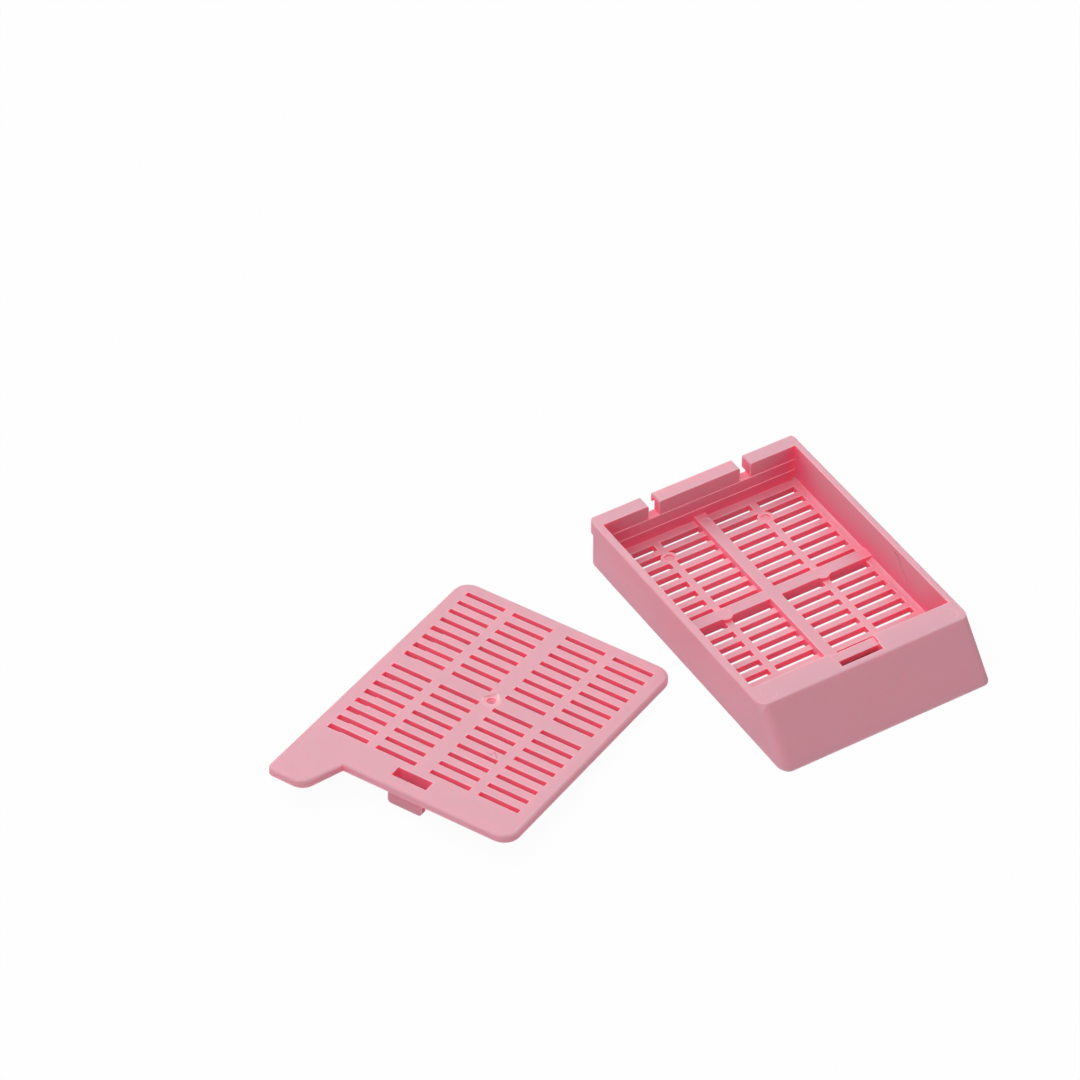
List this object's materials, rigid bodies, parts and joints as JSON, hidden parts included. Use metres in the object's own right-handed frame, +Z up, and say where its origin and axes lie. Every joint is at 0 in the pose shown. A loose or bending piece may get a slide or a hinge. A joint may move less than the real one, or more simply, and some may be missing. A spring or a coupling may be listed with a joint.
{
  "type": "tissue cassette",
  "caption": "Moulded plastic tissue cassette: a shallow box with a slotted floor, a slanted writing face and a rear lip, and its slotted clip-down lid with a finger tab lying beside it.",
  "frame": {"origin": "middle of the base's underside, halfway between the foot of the writing face and the edge of the rear lip, at the level it stands on", "axes": "+Z up, out of the open side of the base; +Y from the writing face to the rear lip; +X across the base, away from the lid, which lies on the -X side"},
  "size_m": [0.079, 0.0446, 0.0063],
  "materials": {
    "base": "fine spark-eroded, slightly translucent pink acetal",
    "lid": "fine spark-eroded, slightly translucent pink acetal"
  },
  "bodies": {
    "root": {"base": "base", "lid": "lid"}
  },
  "joints": []
}
